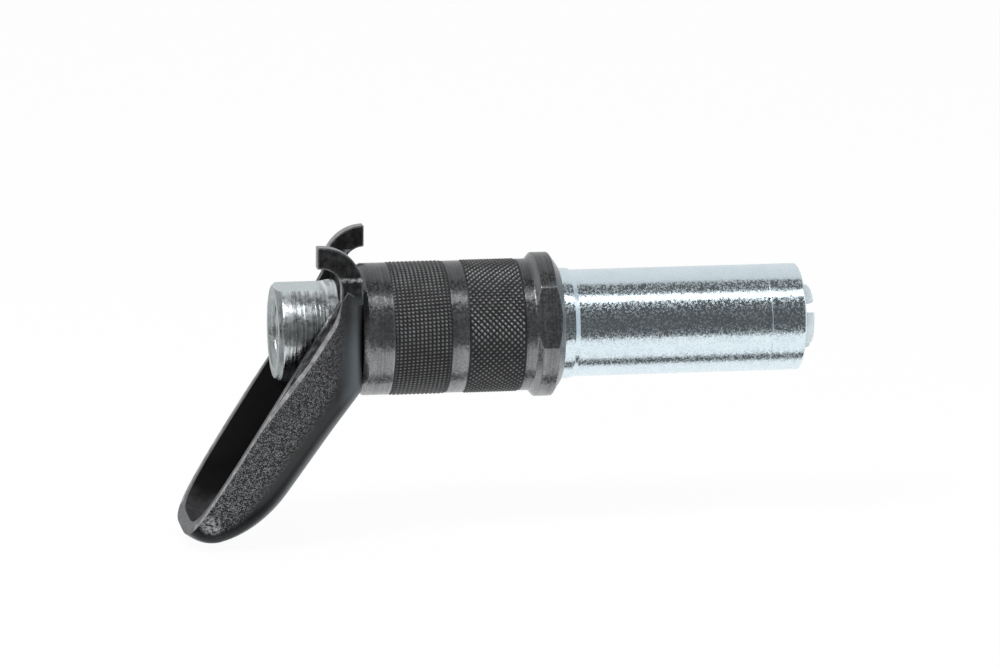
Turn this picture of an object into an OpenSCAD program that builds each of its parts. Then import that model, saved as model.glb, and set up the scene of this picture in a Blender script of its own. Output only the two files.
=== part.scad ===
// Lever-operated grease coupler.
// Millimetres. The axis of the coupler is X, from the first hose thread at X = 0 to the jaws.
// Z is up, and the lever hangs down behind the knurled body.

/* [Inlet stem] */
// Diameter of the inlet head
inlet_d = 16.8; // [16:0.1:17.2]
// Width across the two wrench flats of the inlet head
inlet_flats = 15.1; // [14:0.1:15.6]
// Length of the inlet flats from the first thread
inlet_flat_len = 7; // [6:0.1:8]
// Diameter of the hose thread
thread_d = 10.2; // [9.6:0.1:10.6]
// Depth of the hose thread
thread_depth = 8.6; // [7:0.1:9]
// Diameter of the neck that carries the body
neck_d = 10; // [9.6:0.1:10.2]
// Diameter of the grease passage
passage_d = 4; // [2.5:0.1:4.4]
// Distance from the first thread to the rear face of the body
body_x = 12.7; // [12.3:0.1:13.5]

/* [Lever] */
// Thickness of the lever sheet
lever_t = 2.2; // [1.9:0.1:2.4]
// Outside width of the lever at its fork
fork_w = 23.9; // [23.2:0.1:24.6]
// Outside width of the lever at its grip
grip_w = 24.6; // [23:0.1:26]
// Angle between the grip and the rear face of the body
grip_angle = 35.5; // [33:0.5:38]
// Depth of the lever channel at the heel
grip_depth = 11.6; // [11:0.1:12]
// Loss of channel depth for each length along the grip
grip_taper = 0.06; // [0:0.01:0.08]
// Length of the grip from its heel to its tip
grip_len = 36.4; // [33:0.2:40]
// Radius of the curve that lifts the spine at the tip
tip_curve_r = 25; // [22:0.5:30]
// Lean of the lever walls, in degrees
wall_draft = 3; // [1:0.5:5]
// Height of the top edge of the lever plate above the axis
plate_top = 9; // [8.8:0.1:9.3]
// Middle radius of the two finger hooks
hook_r = 5.1; // [4.6:0.1:5.6]
// Width of the hook strip
hook_w = 3.6; // [3:0.1:4]
// Height of the rear hook's centre above the axis
hook_rear_z = 9.5; // [9:0.1:10]
// Height of the front hook's centre above the axis
hook_front_z = 8.4; // [7.6:0.1:9]
// Gap between the lever plate and the faces on each side of it
lever_play = 0.1; // [0.05:0.01:0.15]

/* [Body] */
// Diameter of the knurled body
body_d = 22; // [21.6:0.1:22.4]
// Length of the body with its collar
body_len = 33.5; // [32.4:0.1:35]
// Diameter of the collar
collar_d = 23.8; // [23.4:0.1:24.6]
// Length of the cylinder of the collar
collar_len = 2.6; // [1.8:0.1:2.8]
// Width across the two wrench flats of the collar
collar_flats = 21.7; // [21.2:0.1:22.2]
// Turn of the collar flats about the axis, in degrees
collar_turn = 18; // [0:1:45]
// Depth of the relief bands around the knurled bands
relief_depth = 0.12; // [0.05:0.01:0.2]

/* [Nose sleeve] */
// Diameter of the nose sleeve
nose_d = 17.7; // [17.3:0.1:17.9]
// Diameter of the shoulder next to the collar
shoulder_d = 18.3; // [18.2:0.1:18.5]
// Length of the shoulder in front of the collar
shoulder_len = 2.6; // [2:0.1:4]
// Length of the nose sleeve in front of the collar
nose_len = 40.6; // [39.6:0.1:43]
// Diameter of the bore of the nose sleeve
nose_bore = 14.8; // [14.7:0.05:15]
// Half angle of the cone that closes the jaws
cone_half = 16; // [15:0.5:18]
// Diameter of the mouth of the nose sleeve
mouth_d = 11.1; // [11:0.05:11.4]

/* [Jaws] */
// Width of the slots between the jaws
jaw_slot = 1.7; // [1.4:0.1:2]
// Diameter of the ring of jaw noses
jaw_nose_d = 10.5; // [10.2:0.05:10.6]
// Length of the jaw noses in front of the sleeve
jaw_proud = 2.2; // [1.8:0.1:2.4]
// Diameter of the opening between the jaw lips
lip_d = 6; // [5.6:0.1:6.4]
// Turn of the jaws about the axis, in degrees
jaw_turn = 30.5; // [0:0.5:45]

/* [Springs] */
// Wire diameter of the main spring
spring_wire = 1.6; // [1.3:0.1:1.7]
// Number of turns of the main spring
spring_turns = 7; // [5:0.5:8]

/* [Hidden] */
$fn = 96;

// Clearances between fitted pieces
run = 0.06;
seat = 0.05;
slide = 0.1;
over = 40;

// Stem: its head ends where the lever plate begins
head_len = body_x - lever_t - 2 * lever_play;
head_edge = 0.9;
head_edge_len = 1.2;
rear_edge = 0.8;
mouth_edge = 0.9;
rear_x = -mouth_edge;
flat_cutter_r = 1.5;
bore_cone = 1.2;
stem_thread_d = 9;
stem_thread_len = 7;

// Body: lengths measured from its rear face
body_edge_x = 0.9;
body_edge_r = 0.7;
body_wall = 4;
knurl_len = 9.5;
knurl_1 = 5.05;
knurl_2 = 17.35;
collar_x = body_x + body_len;
collar_front_x = 1.4;
collar_front_r = 2;
collar_rear_x = 0.9;
spring_room_d = 17.2;
nose_thread_len = 9.2;
washer_play = 0.3;
collar_start = body_len - collar_front_x - collar_len - collar_rear_x;

// Nose sleeve: measured from its front face
nose_x = collar_x + nose_len;
nose_rear = collar_x - nose_thread_len + seat;
nose_edge = 0.5;
shoulder_edge = 0.4;
cone_len = (nose_bore - mouth_d) / 2 / tan(cone_half);

// Jaw carrier, measured along the axis from its rear face behind the collar
carrier_back = 2.9;
carrier_len = 20;
carrier_x = collar_x - carrier_back;
neck_end = carrier_x;
stem_end = neck_end + stem_thread_len;
carrier_d = nose_bore - 2 * slide;
gasket_t = 1;
chamber_x = stem_end + gasket_t;
chamber_d = 6.4;
chamber_len = 10.5;
groove_x = carrier_x + carrier_len;
groove_len = 2.4;
groove_d = 9.8;
flange_len = 1.6;
flange_d = 11.6;
tube_d = 7.8;
tube_back = 9.5;
seal_bore_back = 3;
seal_bore_x = groove_x + seal_bore_back;
seal_bore_d = 5.4;
jet_d = 2;

// Jaws
jaw_tip_x = nose_x + jaw_proud;
tube_end = jaw_tip_x - tube_back;
heel_play = 0.15;
heel_x = groove_x + heel_play;
heel_len = groove_len - 2 * heel_play;
heel_out = carrier_d - 2 * heel_play;
heel_in = groove_d + 2 * heel_play;
jaw_gap = 0.12;
jaw_cone_out = 12.76;
jaw_arm_in = 10;
jaw_shoulder = 2;
jaw_neck = 0.7;
jaw_neck_run = 0.3;
pocket_back = 8.6;
pocket_x = jaw_tip_x - pocket_back;
pocket_d = 7.3;
pocket_run = 1.2;
lip_back = 2.8;
lip_x = jaw_tip_x - lip_back;
lip_len = 1.8;
lip_run = 0.8;
spreader_wire = 0.8;
spreader_d = 9;
spreader_back = 9;
spreader_x = groove_x + spreader_back;
spreader_arc = 325;
lead_in_d = 7.8;
nose_round = 0.7;
jaw_count = 4;
jaw_angle = [for (i = [0 : jaw_count - 1]) 180 - jaw_turn + 45 + i * 360 / jaw_count];

// Springs and valve
washer_t = 1;
spring_r = 6.6;
spring_steps = 18;
spring_sides = 8;
small_spring_turns = 4;
small_spring_steps = 14;
small_spring_sides = 6;
check_spring_r = 1.5;
seal_spring_r = 2.1;
seat_len = 3;
seat_hole = 2.8;
ball_d = 4;
small_wire = 0.5;

// Turns a profile drawn as (length along the axis, radius) around the X axis.
module turned(profile) {
    rotate([90, 0, 90])
        rotate_extrude()
            polygon([for (p = profile) [p[1], p[0]]]);
}

// A plain cylinder along X, from one place to another.
module rod(x0, x1, d) {
    translate([x0, 0, 0])
        rotate([0, 90, 0])
            cylinder(h = x1 - x0, d = d);
}

// A flat ring along X.
module ring(x0, x1, d_out, d_in) {
    difference() {
        rod(x0, x1, d_out);
        rod(x0 - 1, x1 + 1, d_in);
    }
}

// One round-wire coil along X, as a swept polygon.
module coil(x0, x1, r, wire, turns, steps, sides) {
    count = ceil(turns * steps);
    rise = (x1 - x0 - wire) / count;
    points = [for (i = [0 : count]) for (j = [0 : sides - 1])
        let (turn = i * 360 / steps, side = j * 360 / sides, radius = r + wire / 2 * cos(side))
        [x0 + wire / 2 + i * rise + wire / 2 * sin(side), radius * cos(turn), radius * sin(turn)]];
    walls = [for (i = [0 : count - 1]) for (j = [0 : sides - 1])
        let (k = (j + 1) % sides)
        [i * sides + j, (i + 1) * sides + j, (i + 1) * sides + k, i * sides + k]];
    start = [for (j = [0 : sides - 1]) j];
    end = [for (j = [sides - 1 : -1 : 0]) count * sides + j];
    polyhedron(points, concat([start], walls, [end]), convexity = 10);
}

// Stem with the threaded inlet head, its wrench flats and the long neck.
module inlet_stem() {
    color("LightSteelBlue")
        difference() {
            turned([
                [rear_x, 0], [rear_x, inlet_d / 2 - rear_edge], [rear_x + rear_edge, inlet_d / 2],
                [head_len - head_edge_len, inlet_d / 2], [head_len, inlet_d / 2 - head_edge],
                [head_len, neck_d / 2], [neck_end, neck_d / 2], [neck_end, stem_thread_d / 2],
                [stem_end, stem_thread_d / 2], [stem_end, 0]]);
            turned([
                [-1, 0], [-1, thread_d / 2 + 1], [0, thread_d / 2],
                [thread_depth, thread_d / 2], [thread_depth + bore_cone, passage_d / 2],
                [stem_end + 1, passage_d / 2], [stem_end + 1, 0]]);
            for (side = [0, 1])
                mirror([0, 0, side])
                    inlet_flat();
        }
}

// The cut of one inlet flat, with the round run-out of its cutter.
module inlet_flat() {
    translate([-1, -inlet_d / 2, inlet_flats / 2])
        cube([1 + inlet_flat_len, inlet_d, inlet_d / 2]);
    translate([inlet_flat_len, 0, inlet_flats / 2 + flat_cutter_r])
        rotate([90, 0, 0])
            cylinder(h = inlet_d, r = flat_cutter_r, center = true);
}

// The lever is swept through slices across its grip.
// u runs down the grip from the heel and v runs from the spine to the open rim.
plate_front = body_x - lever_play;
plate_rear = plate_front - lever_t;
slope = tan(grip_angle);
heel_room = 0.15;
head_corner = [head_len, -(inlet_d / 2 - head_edge)];
heel_n = head_corner[0] * cos(grip_angle) - head_corner[1] * sin(grip_angle) + heel_room + lever_t;
heel_z = -(heel_n - plate_front * cos(grip_angle)) / sin(grip_angle);
heel_in_u = lever_t * (sin(grip_angle) - (1 - cos(grip_angle)) / tan(grip_angle));
tip_lift_len = 15.4;
tip_power = 4.2;
tip_round = 3;
tip_lift_u = grip_len - tip_lift_len;
grip_full_u = 10;
fork_full_u = -2;
top_u = -12.4;
plate_corner = 1.8;
plate_inset = 0.03;
corner_fork = 2.6;
corner_grip = 4.2;
corner_least = 0.7;
corner_run = 12;
corner_steps = 6;
tip_stop = 88;
floor_shift = 0.35 * lever_t;
side_inset = 0.1;
hook_back = 1;
hook_root = 5.4;
hook_reach = 0.7;
plate_foot = -2;
hole_play = 0.45;
hole_rise = 1.1;

function smooth(t) = let (s = min(1, max(0, t))) s * s * (3 - 2 * s);
function grip_half(u, inset) =
    let (
        at_fork = smooth((grip_full_u - u) / (grip_full_u - fork_full_u)),
        t = (u - grip_full_u) / (grip_len - inset - grip_full_u))
    u <= grip_full_u
        ? grip_w / 2 - inset + (fork_w - grip_w) / 2 * at_fork
        : (grip_w / 2 - inset) * pow(max(0, 1 - pow(t, tip_power)), 1 / tip_power);
function rise(u, start, r) = u <= start ? 0 : r - sqrt(max(0, pow(r, 2) - pow(u - start, 2)));
function tip_lift(u) = rise(u, tip_lift_u, tip_curve_r) + rise(u, grip_len - tip_round, tip_round);
function rim(u) = grip_depth - grip_taper * u;
function spine_out(u) = u < 0 ? -slope * u : tip_lift(u);
function plate_back(u) = lever_t / cos(grip_angle) - slope * u;
function spine_in(u) = u < heel_in_u ? plate_back(u) : lever_t + tip_lift(u + floor_shift);
function corner(u, inset) =
    let (grown = smooth((u - fork_full_u) / corner_run))
    max(corner_least, corner_fork + (corner_grip - corner_fork) * grown - inset);

// The outline of one slice, from one rim over the spine to the other rim, as (y, v) pairs.
function half_outline(half, v_spine, v_rim, r) =
    let (
        up = v_rim > v_spine ? 1 : -1,
        room = min(r, abs(v_rim - v_spine) * 0.8, half * 0.8),
        lean = tan(wall_draft) * max(0, v_rim - v_spine - room))
    concat(
        [[half, v_rim]],
        [for (i = [0 : corner_steps])
            let (a = 90 * i / corner_steps)
            [half - lean - room + room * cos(a), v_spine + up * (room - room * sin(a))]]);
function slice(half, v_spine, v_rim, r) =
    let (side = half_outline(half, v_spine, v_rim, r), n = len(side))
    concat(side, [for (i = [n - 1 : -1 : 0]) [-side[i][0], side[i][1]]]);

// Places a slice point in the coupler's frame.
function place(u, p) = [
    plate_front - sin(grip_angle) * u - cos(grip_angle) * p[1],
    p[0],
    heel_z - cos(grip_angle) * u + sin(grip_angle) * p[1]];

// The slices are closer together at the heel and around the tip.
function stations(inset) = concat(
    [for (u = [top_u : 1.5 : -1.5]) u],
    [0, heel_in_u, 2],
    [for (u = [4 : 2 : grip_full_u]) u],
    [for (a = [8 : 8 : 64]) grip_full_u + (grip_len - inset - grip_full_u) * sin(a)],
    [for (a = [69 : 4 : 85]) grip_full_u + (grip_len - inset - grip_full_u) * sin(a)],
    [grip_full_u + (grip_len - inset - grip_full_u) * sin(tip_stop)]);

module lever_channel() {
    outer_u = stations(0);
    inner_u = stations(lever_t);
    outer = [for (u = outer_u)
        slice(grip_half(u, 0), spine_out(u), rim(u), corner(u, 0))];
    inner = [for (u = inner_u)
        slice(grip_half(u, lever_t), spine_in(u), rim(u), corner(u, lever_t))];
    rows = len(outer_u);
    cols = len(outer[0]);
    points = concat(
        [for (i = [0 : rows - 1]) for (p = outer[i]) place(outer_u[i], p)],
        [for (i = [0 : rows - 1]) for (p = inner[i]) place(inner_u[i], p)]);
    skin = rows * cols;
    out_faces = [for (i = [0 : rows - 2]) for (j = [0 : cols - 2])
        [i * cols + j, i * cols + j + 1, (i + 1) * cols + j + 1, (i + 1) * cols + j]];
    in_faces = [for (f = out_faces) [for (k = [3 : -1 : 0]) skin + f[k]]];
    rims = [for (i = [0 : rows - 2]) each [
        [i * cols, (i + 1) * cols, skin + (i + 1) * cols, skin + i * cols],
        [i * cols + cols - 1, skin + i * cols + cols - 1,
            skin + (i + 1) * cols + cols - 1, (i + 1) * cols + cols - 1]]];
    top = [for (j = [0 : cols - 2]) [j + 1, j, skin + j, skin + j + 1]];
    last = (rows - 1) * cols;
    bow = [
        [for (j = [0 : cols - 1]) last + j],
        [for (j = [cols - 1 : -1 : 0]) skin + last + j],
        [last + cols - 1, skin + last + cols - 1, skin + last, last]];
    faces = concat(out_faces, in_faces, rims, top, bow);
    outward = [for (f = faces) [for (k = [len(f) - 1 : -1 : 0]) f[k]]];
    polyhedron(points, outward, convexity = 10);
}

// One finger hook in the plane of a wall, drawn for the wall at -Y.
module hook(forward, centre_z) {
    hook_t = lever_t - 2 * side_inset;
    arm_x = (plate_front + plate_rear) / 2 - hook_back;
    turn = forward ? 1 : 0;
    translate([arm_x, -(fork_w / 2 - side_inset - hook_t), 0])
        rotate([90, 0, 0])
            linear_extrude(hook_t)
                mirror([turn, 0])
                    hook_outline(centre_z, forward ? 0 : hook_reach);
}

module hook_outline(centre_z, reach) {
    difference() {
        translate([-hook_r, centre_z])
            circle(r = hook_r + hook_w / 2);
        translate([-hook_r, centre_z])
            circle(r = hook_r - hook_w / 2);
        translate([-hook_r - over, centre_z - over])
            square([2 * over, over]);
        translate([-hook_r - over, centre_z - over / 2])
            square([over, over]);
    }
    translate([-hook_w / 2, centre_z - hook_root])
        square([hook_w, hook_root + plate_inset]);
    translate([-hook_r - reach, centre_z + hook_r - hook_w / 2])
        square([reach + plate_inset, hook_w]);
}

// The flat plate at the top of the lever, with round front corners.
module lever_plate() {
    front = plate_front - plate_inset;
    rear = plate_rear + plate_inset;
    half = fork_w / 2 - side_inset;
    translate([0, 0, plate_foot])
        linear_extrude(plate_top - plate_foot) {
            translate([rear, -half])
                square([front - plate_corner - rear, 2 * half]);
            translate([rear, plate_corner - half])
                square([front - rear, 2 * (half - plate_corner)]);
            for (side = [-1, 1])
                translate([front - plate_corner, side * (half - plate_corner)])
                    circle(r = plate_corner);
        }
}

module lever() {
    hole_d = neck_d + 2 * hole_play;
    hole_back = plate_rear - 3 * lever_t;
    hole_end = plate_front + lever_t;
    color("DimGray")
        union() {
            difference() {
                union() {
                    lever_channel();
                    lever_plate();
                }
                for (rise = [0, hole_rise])
                    translate([0, 0, rise])
                        rod(hole_back, hole_end, hole_d);
                translate([hole_back, -hole_d / 2, 0])
                    cube([hole_end - hole_back, hole_d, hole_rise]);
            }
            hook(false, hook_rear_z);
            mirror([0, 1, 0])
                hook(true, hook_front_z);
        }
}

// Body with its relief bands and its collar.
module knurled_body() {
    r = body_d / 2;
    low = r - relief_depth;
    band = [for (k = [knurl_1, knurl_2]) each [
        [k, low], [k, r], [k + knurl_len, r], [k + knurl_len, low]]];
    outline = concat(
        [[0, 0], [0, r - body_edge_r], [body_edge_x, low]],
        band,
        [[collar_start, low], [collar_start + collar_rear_x, collar_d / 2],
            [collar_start + collar_rear_x + collar_len, collar_d / 2],
            [body_len, collar_d / 2 - collar_front_r], [body_len, 0]]);
    color("DarkSlateGray")
        translate([body_x, 0, 0])
            difference() {
                turned(outline);
                rod(-1, body_wall + 1, neck_d + 2 * run);
                rod(body_wall, body_len + 1, spring_room_d);
                rod(body_len - nose_thread_len, body_len + 1, shoulder_d + 2 * seat);
                for (side = [0, 180])
                    rotate([side - collar_turn, 0, 0])
                        translate([collar_start, -over - collar_flats / 2, -over / 2])
                            cube([body_len, over, over]);
            }
}

// Zinc plated sleeve that closes the jaws with the cone in its mouth.
module nose_sleeve() {
    r = nose_d / 2;
    bore = nose_bore / 2;
    step_x = collar_x + shoulder_len;
    color("Silver")
        turned([
            [nose_rear, bore], [nose_rear, shoulder_d / 2], [step_x - shoulder_edge, shoulder_d / 2],
            [step_x, r], [nose_x - nose_edge, r], [nose_x - nose_edge * 0.3, r - nose_edge * 0.3],
            [nose_x, r - nose_edge], [nose_x, mouth_d / 2], [nose_x - cone_len, bore]]);
}

module main_spring() {
    color("Gray")
        coil(body_x + body_wall + washer_t + seat, carrier_x - washer_t - 2 * seat, spring_r, spring_wire,
            spring_turns, spring_steps, spring_sides);
}

module rear_spring_washer() {
    color("Gray")
        ring(body_x + body_wall + seat / 2, body_x + body_wall + washer_t,
            spring_room_d - 2 * washer_play, neck_d + washer_play);
}

module front_spring_washer() {
    color("Gray")
        ring(carrier_x - washer_t - seat, carrier_x - seat, carrier_d, neck_d + washer_play);
}

// Carrier on the front of the stem: valve chamber, groove for the jaw heels and the seal tube.
module jaw_carrier() {
    flange_x = groove_x + groove_len;
    tube_x = flange_x + flange_len;
    color("SlateGray")
        difference() {
            turned([
                [carrier_x, 0], [carrier_x, carrier_d / 2], [groove_x, carrier_d / 2],
                [groove_x, groove_d / 2], [flange_x, groove_d / 2], [flange_x, flange_d / 2],
                [tube_x, flange_d / 2], [tube_x, tube_d / 2], [tube_end, tube_d / 2], [tube_end, 0]]);
            rod(carrier_x - 1, chamber_x, stem_thread_d + 2 * seat);
            rod(chamber_x - 1, chamber_x + chamber_len, chamber_d);
            rod(chamber_x, seal_bore_x + 1, jet_d);
            rod(seal_bore_x, tube_end + 1, seal_bore_d);
        }
}

module sealing_washer() {
    color("Peru")
        ring(stem_end + seat, chamber_x - seat, stem_thread_d - 2 * slide, passage_d + washer_play);
}

module valve_seat() {
    color("Goldenrod")
        ring(chamber_x + seat, chamber_x + seat_len, chamber_d - 2 * seat, seat_hole);
}

ball_x = chamber_x + seat_len + sqrt(pow(ball_d, 2) - pow(seat_hole, 2)) / 2 + seat;

module check_ball() {
    color("Gainsboro")
        translate([ball_x, 0, 0])
            sphere(d = ball_d);
}

module check_spring() {
    inner_r = check_spring_r - small_wire / 2;
    on_ball = ball_x + sqrt(pow(ball_d / 2, 2) - pow(inner_r, 2)) + seat;
    color("Gray")
        coil(on_ball, chamber_x + chamber_len - seat, check_spring_r, small_wire,
            small_spring_turns, small_spring_steps, small_spring_sides);
}

// Seal follower and seal, which float together in the seal tube.
seal_spring_len = 5;
backing_x = seal_bore_x + seal_spring_len;
backing_len = 3;
seal_x = backing_x + backing_len + seat;
seal_neck_d = seal_bore_d - 2 * slide;
seal_head_d = 6.2;
seal_proud = 1;
seal_head_len = 2.4;
seal_head_x = tube_end + seal_proud;
seal_front_x = seal_head_x + seal_head_len;
seal_cup = 1.2;
seal_lip = 0.5;

module seal_spring() {
    color("Gray")
        coil(seal_bore_x + seat, backing_x - seat, seal_spring_r, small_wire,
            small_spring_turns, small_spring_steps, small_spring_sides);
}

module seal_backing() {
    color("Goldenrod")
        ring(backing_x, backing_x + backing_len, seal_neck_d, jet_d);
}

module nose_seal() {
    color("DarkRed")
        turned([
            [seal_x, jet_d / 2], [seal_x, seal_neck_d / 2], [seal_head_x, seal_neck_d / 2],
            [seal_head_x, seal_head_d / 2], [seal_front_x, seal_head_d / 2],
            [seal_front_x, seal_head_d / 2 - seal_lip], [seal_front_x - seal_cup, jet_d / 2]]);
}

// The four jaws are cut from one turned collet.
module jaw(index) {
    turn = jaw_angle[index];
    lip_end = lip_x + lip_len;
    neck_x = nose_x - jaw_neck;
    cone_r = mouth_d / 2 - jaw_gap;
    cone_slope = tan(cone_half);
    shoulder_x = nose_x - (jaw_cone_out / 2 - cone_r) / cone_slope;
    heel_end = heel_x + heel_len;
    arm_x = groove_x + groove_len + flange_len + heel_play;
    flange_r = flange_d / 2 + heel_play;
    color("LightGray")
        intersection() {
            turned([
                [heel_x, heel_in / 2], [heel_x, heel_out / 2], [heel_end, heel_out / 2],
                [shoulder_x - jaw_shoulder, jaw_cone_out / 2], [shoulder_x, jaw_cone_out / 2],
                [neck_x, cone_r + (nose_x - neck_x) * cone_slope], [neck_x + jaw_neck_run, jaw_nose_d / 2],
                [jaw_tip_x - nose_round, jaw_nose_d / 2],
                [jaw_tip_x - nose_round * 0.3, jaw_nose_d / 2 - nose_round * 0.3],
                [jaw_tip_x, jaw_nose_d / 2 - nose_round], [jaw_tip_x, lead_in_d / 2],
                [lip_end, lip_d / 2], [lip_x, lip_d / 2], [lip_x - lip_run, pocket_d / 2],
                [pocket_x, pocket_d / 2], [pocket_x - pocket_run, jaw_arm_in / 2], [arm_x, jaw_arm_in / 2],
                [arm_x, flange_r], [heel_end, flange_r], [heel_end, heel_in / 2]]);
            rotate([turn, 0, 0])
                jaw_quarter();
        }
}

// A quarter of space around +Y, less half a slot on each side.
module jaw_quarter() {
    rotate([45, 0, 0])
        translate([heel_x - 1, jaw_slot / 2, -over])
            cube([over, over, over - jaw_slot / 2]);
}

module jaw_1() jaw(0);
module jaw_2() jaw(1);
module jaw_3() jaw(2);
module jaw_4() jaw(3);

// Open wire ring between the seal tube and the jaws.
module jaw_spreader() {
    color("Gray")
        translate([spreader_x, 0, 0])
            rotate([90, 0, 90])
                rotate_extrude(angle = spreader_arc)
                    translate([spreader_d / 2, 0])
                        circle(d = spreader_wire, $fn = 32);
}

inlet_stem();
lever();
knurled_body();
nose_sleeve();
main_spring();
rear_spring_washer();
front_spring_washer();
jaw_carrier();
sealing_washer();
valve_seat();
check_ball();
check_spring();
seal_spring();
seal_backing();
nose_seal();
jaw_1();
jaw_2();
jaw_3();
jaw_4();
jaw_spreader();
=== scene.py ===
"""Looks of the lever-operated grease coupler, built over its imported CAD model."""
import math
from functools import partialmethod

import bmesh
import bpy
import numpy as np
from mathutils import Matrix, Vector


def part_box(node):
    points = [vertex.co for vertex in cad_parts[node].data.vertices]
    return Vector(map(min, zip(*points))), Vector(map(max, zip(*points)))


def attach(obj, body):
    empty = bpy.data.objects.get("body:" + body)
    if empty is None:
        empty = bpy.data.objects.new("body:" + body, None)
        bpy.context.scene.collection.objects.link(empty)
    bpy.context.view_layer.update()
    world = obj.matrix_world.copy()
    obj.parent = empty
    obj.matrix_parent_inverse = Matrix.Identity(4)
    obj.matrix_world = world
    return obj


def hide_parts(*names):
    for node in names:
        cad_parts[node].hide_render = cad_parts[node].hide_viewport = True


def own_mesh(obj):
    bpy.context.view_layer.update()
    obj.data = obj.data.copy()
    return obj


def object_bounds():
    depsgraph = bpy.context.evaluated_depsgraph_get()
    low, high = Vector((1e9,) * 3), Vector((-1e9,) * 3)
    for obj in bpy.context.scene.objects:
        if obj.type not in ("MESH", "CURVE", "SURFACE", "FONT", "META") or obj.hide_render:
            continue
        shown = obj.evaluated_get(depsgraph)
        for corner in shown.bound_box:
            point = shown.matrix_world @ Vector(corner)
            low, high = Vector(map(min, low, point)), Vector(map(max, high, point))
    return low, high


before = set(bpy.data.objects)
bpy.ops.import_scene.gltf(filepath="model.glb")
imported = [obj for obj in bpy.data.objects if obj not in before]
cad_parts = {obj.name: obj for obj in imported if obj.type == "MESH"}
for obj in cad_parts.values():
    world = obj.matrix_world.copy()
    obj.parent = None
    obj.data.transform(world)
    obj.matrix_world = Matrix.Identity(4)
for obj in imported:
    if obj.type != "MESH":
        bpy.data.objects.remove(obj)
cad_low, cad_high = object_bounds()

MM = 0.001

# Sizes of the coupler, with lengths in millimetres, most of them as in the part's source
REAR_X = -0.9
INLET_R = 8.4
INLET_FLAT = 7.55
INLET_FLAT_END = 7.0
FLAT_CUTTER_R = 1.5
THREAD_R = 5.1
THREAD_DEPTH = 8.6
THREAD_PITCH = 0.907
THREAD_RIDGE = 0.55
RIDGE_GAIN = 1.3
THREAD_FADE = 0.8
MOUTH_EDGE = 0.9
INLET_EDGE = 0.8
MILL_FROM_R = THREAD_R + 0.95
BORE_CONE = 1.2
PASSAGE_R = 2.0
HEAD_X = 10.3
HEAD_EDGE = 0.9
HEAD_EDGE_LEN = 1.2
NECK_R = 5.0
NECK_END = 43.3
STEM_R = 4.5
STEM_END = 50.3
BODY_X = 12.7
BODY_R = 11.0
BODY_LOW_R = 10.88
BODY_EDGE = 0.7
BODY_EDGE_LEN = 0.9
BODY_WALL = 4.0
BODY_BORE_R = 8.6
BODY_BORE_END = 37.0
NECK_PLAY = 0.06
SHOULDER_PLAY = 0.05
KNURL_STARTS = (17.75, 30.05)
KNURL_LEN = 9.5
KNURL_DEPTH = 0.24
KNURL_RAMP = 0.5
KNURL_END_R = BODY_LOW_R - 0.08
KNURL_SEAT_R = BODY_LOW_R - 0.5
KNURL_TIP_GAIN = 1.25
GRID_TURNS = 108
GRID_ROWS = 14
GRID_LEAN = 0.9
DIAMOND_TURNS = 66
DIAMOND_ROWS = 9.5
COLLAR_R = 11.9
COLLAR_FLAT = 10.85
COLLAR_TURN = math.radians(18.0)
COLLAR_REAR = 41.3
COLLAR_FULL = 42.2
COLLAR_EDGE = 44.8
COLLAR_X = 46.2
COLLAR_BEVEL = 2.0
COLLAR_ROOM = 0.3
COLLAR_START = 0.02
NOSE_R = 8.85
SHOULDER_R = 9.15
SHOULDER_X = 48.8
SHOULDER_EDGE = 0.8
NOSE_X = 86.8
NOSE_REAR = 37.05
NOSE_BORE_R = 7.4
MOUTH_R = 5.55
RING_X = 81.0
CONE_TAN = math.tan(math.radians(16.0))
JAW_TIP = 89.0
JAW_R = 5.25
JAW_SLOT = 2.1
JAW_ROUND = 0.12
JAW_ROUND_ANGLE = 50.0
JAW_ANGLES = {"jaw_1": 194.5, "jaw_2": 284.5, "jaw_3": 14.5, "jaw_4": 104.5}

LEVER_T = 2.2
FORK_W = 23.9
GRIP_W = 24.6
GRIP_ANGLE = math.radians(35.5)
GRIP_DEPTH = 11.6
GRIP_TAPER = 0.06
GRIP_LEN = 36.4
TIP_CURVE_R = 25.0
TIP_LIFT_U = 21.0
TIP_ROUND = 3.0
TIP_POWER = 4.2
TIP_IN_SHIFT = 0.35
WALL_DRAFT = math.radians(3.0)
PLATE_FRONT = 12.6
PLATE_REAR = 10.4
PLATE_TOP = 9.0
HEEL_ROOM = 0.15
HEAD_EDGE_Z = -7.5
GRIP_FULL_U = 10.0
FORK_FULL_U = -2.0
TOP_U = -12.4
SIDE_INSET = 0.1
PLATE_INSET = 1.25
PLATE_FOOT = -4.5
PLATE_CORNER = 2.1
PLATE_PLAY = 0.03
HOLE_PLAY = 0.45
HOLE_RISE = 1.1
HOLE_REAR = PLATE_REAR - 7.0
HOLE_FRONT = PLATE_FRONT + 2.0
HOOK_R = 5.1
HOOK_W = 3.6
HOOK_ROOT = 2.8
HOOK_REACH = 0.7
HOOK_BACK = 1.0
HOOK_FOLD_Z = 10.9
HOOK_FOLD_HALF = 0.5
HOOK_REAR_Z = 9.5
HOOK_FRONT_Z = 8.4
RIM_CUT_V = 1.5
RIM_CUT_Y = 1.0
RIM_CUT_END = 17.0
RIM_CUT_TOP = 1.0
RIM_CUT_GROW = 5.0
RIM_CUT_WALL = 6.0
RIM_CUT_LEAST = 0.02
RIM_LIGHT = 0.5
RIM_DARK_BEVEL = 0.6
RIM_THIN = 0.03
RIM_FADE_U = 12.0
TIP_RIM_U = 34.6
WORN_PLACES = (((-12.3, -10.0, -29.7), 1.0, 2.2), ((-0.7, -12.1, -7.8), 0.4, 0.9))
CORNER_FORK = 3.6
CORNER_GRIP = 5.0
CORNER_IN_FORK = 2.6
CORNER_IN_GRIP = 4.2
CORNER_GROW = 12.0
CORNER_LEAST = 0.7
CORNER_SHARE = 0.8
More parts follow.
